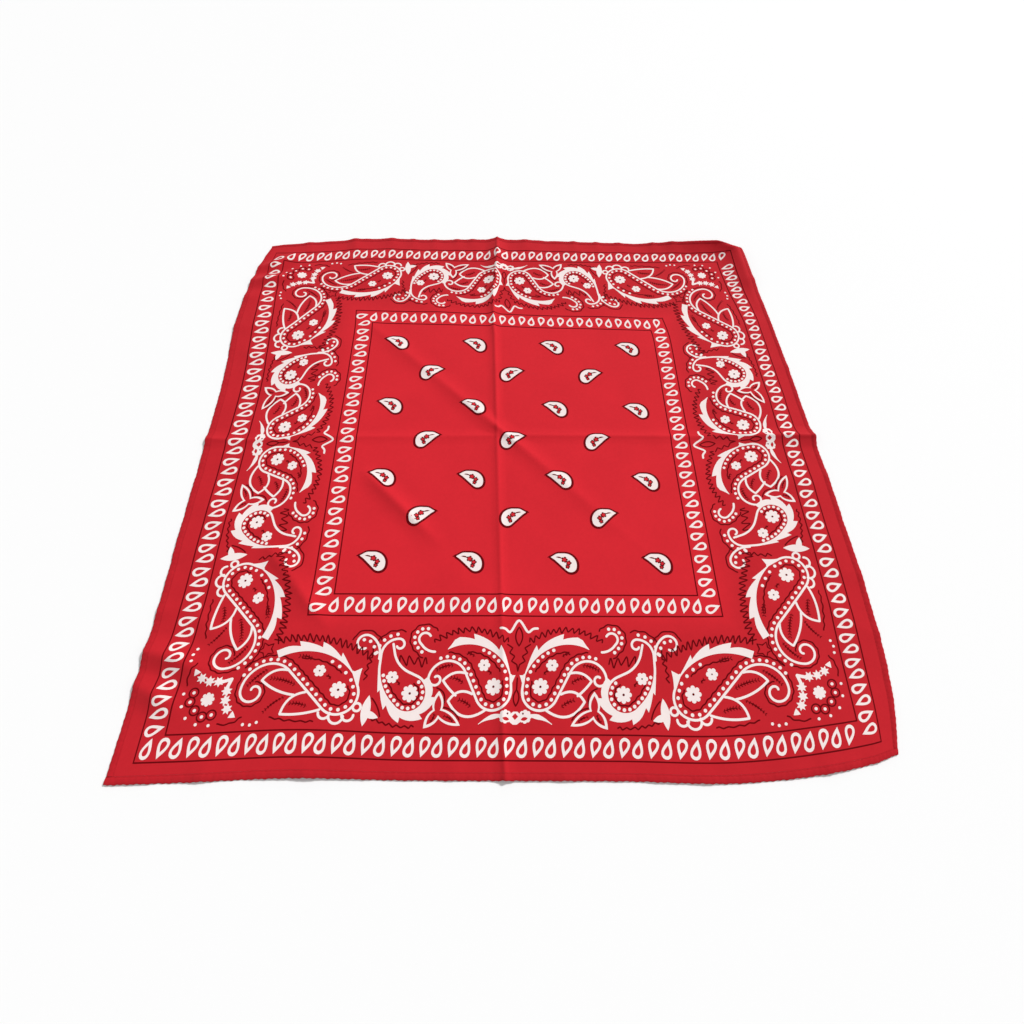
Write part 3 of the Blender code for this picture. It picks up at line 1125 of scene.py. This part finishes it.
def white_lines(*lines):
    return [shape for line in lines for shape in stroke("white", line, WHITE_LINE)]


def dark_waves(*rows):
    """Fine dark waves, each given by its line, swing and pitch."""
    return [shape for row in rows for shape in stroke("dark", wavy(*row), DARK_LINE)]


def dots_along(*rows):
    """White dots beside lines: the line, the stretch of it as two shares, the distance and their number."""
    shapes = []
    for line, start, end, distance, count in rows:
        shapes += dots("white", beside(stretch(line, start, end), distance), count, DOT)
    return shapes


def sprigs(*rows):
    return [shape for row in rows for shape in sprig(*row)]


def open_leaf(root, belly, tip, last_belly, end):
    """Two white lines that meet at the tip of a leaf, each with its belly."""
    return white_lines(bow(root, tip, belly), bow(tip, end, last_belly))


def dark_ring(centre):
    return outlined("dark", disc(centre, 3.3, 14), DARK_LINE) + [("white", disc(centre, 1.2))]


def inner_paisley():
    """Next to the side's middle: its neck leans outwards, and its curl hangs over two open leaves."""
    line = curled(wound((5, -202, 0), (17, -213, 13), (51, -206, -14), end=-80), 5.5, 1.5, -330)
    back = wound((37, -213, -33), start=70, end=-28)
    shapes = dark_waves(
        (beside(stretch(line, 0.03, 0.68), 6.0), 0.4, 6.0),
        (beside(stretch(back, 0.1, 0.72), -5.5), 0.4, 6.0),
        (bow((8, -178), (63, -178), 9), 2.6, 4.6),
    )
    shapes += toothed(back, 8.0, 3, 0.05) + flag(line, 0.15, (1.5, -202)) + white_lines(line)
    shapes += dots_along((line, 0.02, 0.72, 3.0, 18), (back, 0.06, 0.5, -2.2, 6))
    shapes += flower((17, -210), **BIG_FLOWER) + flower((25, -195), **SMALL_FLOWER)
    shapes += sprigs(((19, -202), (23, -199), 1.6), ((32, -189), (39, -187), 1.6))
    shapes += open_leaf((37, -201), 3, (54, -206), 0.5, (44, -216))
    shapes += open_leaf((32, -215), 4, (49, -220), 7, (22, -226))
    return shapes + sprigs(((39, -208), (48, -204)), ((32, -224), (42, -219)), ((47, -195), (60, -199)))


def middle_paisley():
    """Its body lies towards the side's middle, a second curl grows from its back, and a hook lies by it."""
    pegs = ((93, -180, 0), (71, -181, -21), (78, -215, 13), (66, -196, 35), (89, -188, 12))
    line = curled(wound(*pegs, end=180), 4.5, 2.0, 250)
    curl = curled(wound((102, -191, 0), (118, -188, -16), end=30), 7, 3.5, -240)
    hook = wound((70, -176, -4.5), (62, -173, -12.5), start=60, end=180)
    shapes = dark_waves(
        (beside(stretch(line, 0.22, 0.66), 5.5), 0.4, 6.0),
        (beside(stretch(line, 0.78, 0.92), -6.5), 0.5, 8.0),
        (beside(stretch(curl, 0.3, 0.75), 3.6), 0.4, 8.0),
        (beside(stretch(hook, 0.0, 0.8), 6.5), 0.5, 7.0),
        (bow((67, -194), (88, -192), 1), 4.2, 5.5),
        (bow((107, -190), (110, -206), 1), 1.4, 5.0),
        (bow((72, -237), (103, -232), -2), 1.0, 5.0),
    )
    shapes += toothed(stretch(line, 0.25, 0.69)[::-1], 7.5, 6, 0.6) + white_lines(line, curl, hook)
    shapes += dots_along((line, 0.24, 0.68, 2.8, 15), (line, 0.79, 0.9, -3.4, 5))
    shapes += dots_along((curl, 0.1, 0.62, -3.3, 4), (hook, 0.12, 0.72, 3.4, 7))
    shapes += flower((77, -215), **BIG_FLOWER) + flower((91, -204), **SMALL_FLOWER)
    return shapes + sprig((85, -210), (88, -207), 1.4)


def outer_paisley():
    """The longest one, with its curl round the corner's flower bed and three scallops below its body."""
    line = curled(wound((119, -201, 0), (127, -217, 14), (178, -214, -19), end=-90), 9, 1.5, -360)
    back = wound((154, -231, -45), start=50, end=-27)
    shapes = dark_waves(
        (beside(stretch(line, 0.05, 0.72), 6.2), 0.4, 6.0),
        (beside(stretch(line, 0.74, 0.98), 3.2), 0.4, 6.0),
        (beside(stretch(back, 0.1, 0.7), -5.5), 0.4, 6.0),
        (bow((107, -190), (178, -178), 7), 3.6, 4.4),
        (bow((141, -236), (172, -233), -1), 0.6, 7.0),
    )
    shapes += toothed(back, 8.0, 4, 0.75) + flag(line, 0.09, (113, -198)) + white_lines(line)
    shapes += dots_along((line, 0.03, 0.74, 3.1, 23), (back, 0.06, 0.3, -3.2, 3))
    shapes += flower((127.5, -214), **BIG_FLOWER) + flower((143, -200.5), **SMALL_FLOWER)
    shapes += open_leaf((166, -200), 3, (183, -207), 2, (158, -218))
    shapes += open_leaf((150, -216), 4, (165, -231), 1.5, (138, -228))
    shapes += white_lines(disc((112.5, -225.5), 2.7, 14))
    for scallop in ((118, -231, 4), (126, -232, 5), (134.5, -230, 4)):
        shapes += white_lines(wound(scallop, start=-90, end=90))
    shapes += sprigs(((158, -211), (176, -206)), ((147, -226), (160, -224)), ((149, -192), (159, -190)))
    shapes += sprigs(((134, -207), (138, -204), 1.6), ((164, -219), (177, -229), 1.4))
    return shapes + sprig((180, -199), (193, -211), 1.6)


LOBE_OVERLAP = 4.0  # how far each lobe runs back over the centre


def lobes(centre, tips, width, rim):
    """An open white outline of pointed lobes that run together at their centre."""
    centre = np.array(centre, float)
    outer, inner = [], []
    for tip in np.array(tips, float):
        run = (tip - centre) / np.hypot(*(tip - centre))
        root, inner_root = centre - LOBE_OVERLAP * run, centre - (LOBE_OVERLAP - rim) * run
        outer.append(("white", leaf(root, tip, width, width)))
        inner.append(("ground", leaf(inner_root, tip - 2 * rim * run, width - rim, width - rim)))
    return outer + inner


def between_leaves():
    """What fills the gaps at the foot of the border: an open trefoil and a solid bell, each with a shadow."""
    shapes = []
    for shadow in (((40, -232), (53, -224), 2), ((52, -222), (58, -211), 3), ((96, -231), (103, -219), 1)):
        shapes += stroke("dark", bow(*shadow), DARK_LINE)
    shapes += lobes((56, -227), ((56, -213), (39, -236), (65, -238)), 4.0, 1.5)
    shapes += sprigs(((44, -234), (51, -230), 1.2), ((61, -234), (58, -228), 1.2))
    shapes.append(("white", leaf((105, -217), (107, -238), 3.2, 3.0)))
    shapes.append(("white", leaf((109, -228), (97, -232), 2.6, 2.2)))
    return shapes


def crown():
    """A white line with a peak in its middle and a dip on both sides of it."""
    u = np.linspace(-14, 14, 33)
    peak, dips = np.exp(-((u / 3.6) ** 2)), np.exp(-(((abs(u) - 7) / 2.5) ** 2))
    return white_lines(np.stack((u, -168 + 6 * peak - 3 * dips), 1))


def side_middle():
    """What lies on the side's own axis: a crown, a pointed leaf, a stepped dark arrow and a bow."""
    shapes = crown() + outlined("dark", leaf((0, -181), (0, -167), 2.6, 2.6), DARK_LINE)
    shapes += outlined("dark", leaf((0, -223), (0, -212), 2.0, 2.0), DARK_LINE)
    shapes += stroke("dark", bow((0, -204), (0, -212), 0), DARK_LINE)
    for side in (1, -1):
        steps = []
        for step in range(3):
            u, v = 8.5 - 1.75 * step, -180 - 6 * step
            steps += [(u, v), (u - 4, v - 2.5)]
        shapes += stroke("dark", stretch(np.array([*steps, (0, -199)]) * (side, 1)), DARK_LINE)
        shapes += stroke("white", bow((side * 4, -230), (side * 26, -235), side * 2.5), 5.0, 0.7)
        shapes.append(("white", petals((side * 7, -230), 4.6, 8, 0.15)))
        shapes.append(("ground", leaf((side * 4, -232), (side * 9, -231), 1.2, 1.2)))
        shapes.append(("dark", disc((side * 5.5, -228), 0.7, 6)))
    return shapes + [("white", disc((0, -231), 4.5)), ("ground", disc((0, -230), 2.2, 4))]


def corner_bed():
    """In the corner: a bracket of spiky leaves round a flower, dark rings, a star and loose dots."""
    arm = stroke("white", bow((205, -205), (212, -207), 0), 2.4)
    for place, turned in (((213.5, -206.5), 10), ((220, -206), 40), ((226, -203.5), 20)):
        arm.append(("white", star(place, 4.0, 7, turned)))
    arm.append(("white", star((230.5, -199), 3.0, 3, 60)))
    arm += dark_ring((213.5, -229.5)) + dark_ring((220, -230.5))
    for place in ((214, -236.5), (223, -235.5), (180.5, -236), (185, -237.5), (190, -237)):
        arm.append(("white", disc(place, 1.1)))
    arm += dark_waves((bow((192, -232), (208, -236), -2), 0.5, 7.0))
    shapes = arm + shapes_moved(arm, ((0, -1), (-1, 0))) + dark_ring((226, -226))
    shapes += [("white", disc((231, -231), 1.1)), ("white", petals((218.7, -218.7), 4.9, 8, FLOWER_NOTCH))]
    return shapes + outlined("dark", star((184.5, -184.5), 6.0, 5, 135), DARK_LINE)


half_side = inner_paisley() + middle_paisley() + outer_paisley() + between_leaves()
near_side = half_side + shapes_moved(half_side, ((-1, 0), (0, 1))) + side_middle()
for side, quarter in QUARTERS.items():
    lay_print(f"border_{side}", [shapes_moved(near_side, quarter), shapes_moved(corner_bed(), quarter)])

# ---------------------------------------------------------------------------------------------------
# The cloth lies on a pale floor under a white sky and one soft lamp, and the camera looks down at it from
# the near side.

bpy.ops.mesh.primitive_plane_add(size=8.0)
floor = bpy.context.object
floor.name = "floor"
floor_paint = bpy.data.materials.new("floor_paint")
floor_paint.use_nodes = True
floor_shader = floor_paint.node_tree.nodes["Principled BSDF"]
floor_shader.inputs["Base Color"].default_value = (0.9, 0.9, 0.9, 1.0)
floor_shader.inputs["Roughness"].default_value = 0.95
floor.data.materials.append(floor_paint)

world = bpy.data.worlds.new("white sky")
world.use_nodes = True
world.node_tree.nodes["Background"].inputs["Color"].default_value = (1.0, 1.0, 1.0, 1.0)
world.node_tree.nodes["Background"].inputs["Strength"].default_value = 0.5
bpy.context.scene.world = world
bpy.context.scene.view_settings.view_transform = "Standard"

LAMP_FROM = (0.55, 0.58, 0.60)
lamp_data = bpy.data.lights.new("lamp", "SUN")
lamp_data.energy = 3.1
lamp_data.angle = np.radians(8)
lamp = bpy.data.objects.new("lamp", lamp_data)
lamp.rotation_mode = "QUATERNION"
lamp.rotation_quaternion = Vector(LAMP_FROM).to_track_quat("Z", "Y")
bpy.context.scene.collection.objects.link(lamp)

CAMERA_FROM = (-25.5, -276.6, 407.2)  # in mm from the print's middle
CAMERA_LOOK = (0.046, 0.454, -0.890)
CAMERA_RIGHT = (0.999, -0.010, 0.046)
IMAGE_SIDE = 1024
FOCAL_PIXELS = 545
SENSOR_WIDTH = 36.0
camera_data = bpy.data.cameras.new("camera")
camera_data.sensor_width = SENSOR_WIDTH
camera_data.lens = SENSOR_WIDTH * FOCAL_PIXELS / IMAGE_SIDE
camera_data.clip_start = 0.01
camera = bpy.data.objects.new("camera", camera_data)
look = Vector(CAMERA_LOOK).normalized()
right = (Vector(CAMERA_RIGHT) - look * Vector(CAMERA_RIGHT).dot(look)).normalized()
camera_place = Matrix.Translation(Vector((np.array(CAMERA_FROM) - (*middle, 0.0)) * MM))
camera.matrix_world = camera_place @ Matrix((right, right.cross(look), -look)).transposed().to_4x4()
bpy.context.scene.collection.objects.link(camera)
bpy.context.scene.camera = camera
